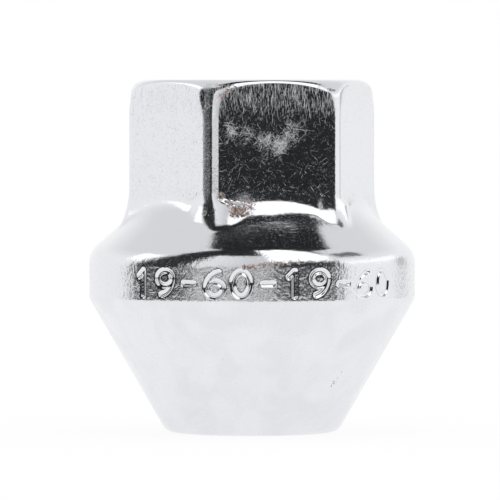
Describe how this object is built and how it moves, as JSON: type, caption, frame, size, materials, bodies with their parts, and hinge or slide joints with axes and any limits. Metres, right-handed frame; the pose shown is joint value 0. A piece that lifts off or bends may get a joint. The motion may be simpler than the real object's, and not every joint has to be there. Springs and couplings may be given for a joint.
{
  "type": "lug nut",
  "caption": "Open-end wheel lug nut: hex drive above a round bulged collar, conical seat below, thread right through, chrome plated.",
  "frame": {"origin": "centre of the seat's small end, on the axis of the thread, where the nut stands", "axes": "+Z along the thread's axis, from the conical seat up to the hex; two flats of the hex are square to Y and two of its corners lie on X"},
  "size_m": [0.028, 0.028, 0.0303],
  "materials": {
    "chrome_plate": "bright plating, scuffed and lightly pitted"
  },
  "bodies": {
    "root": {"lug_nut": "chrome_plate"}
  },
  "joints": []
}
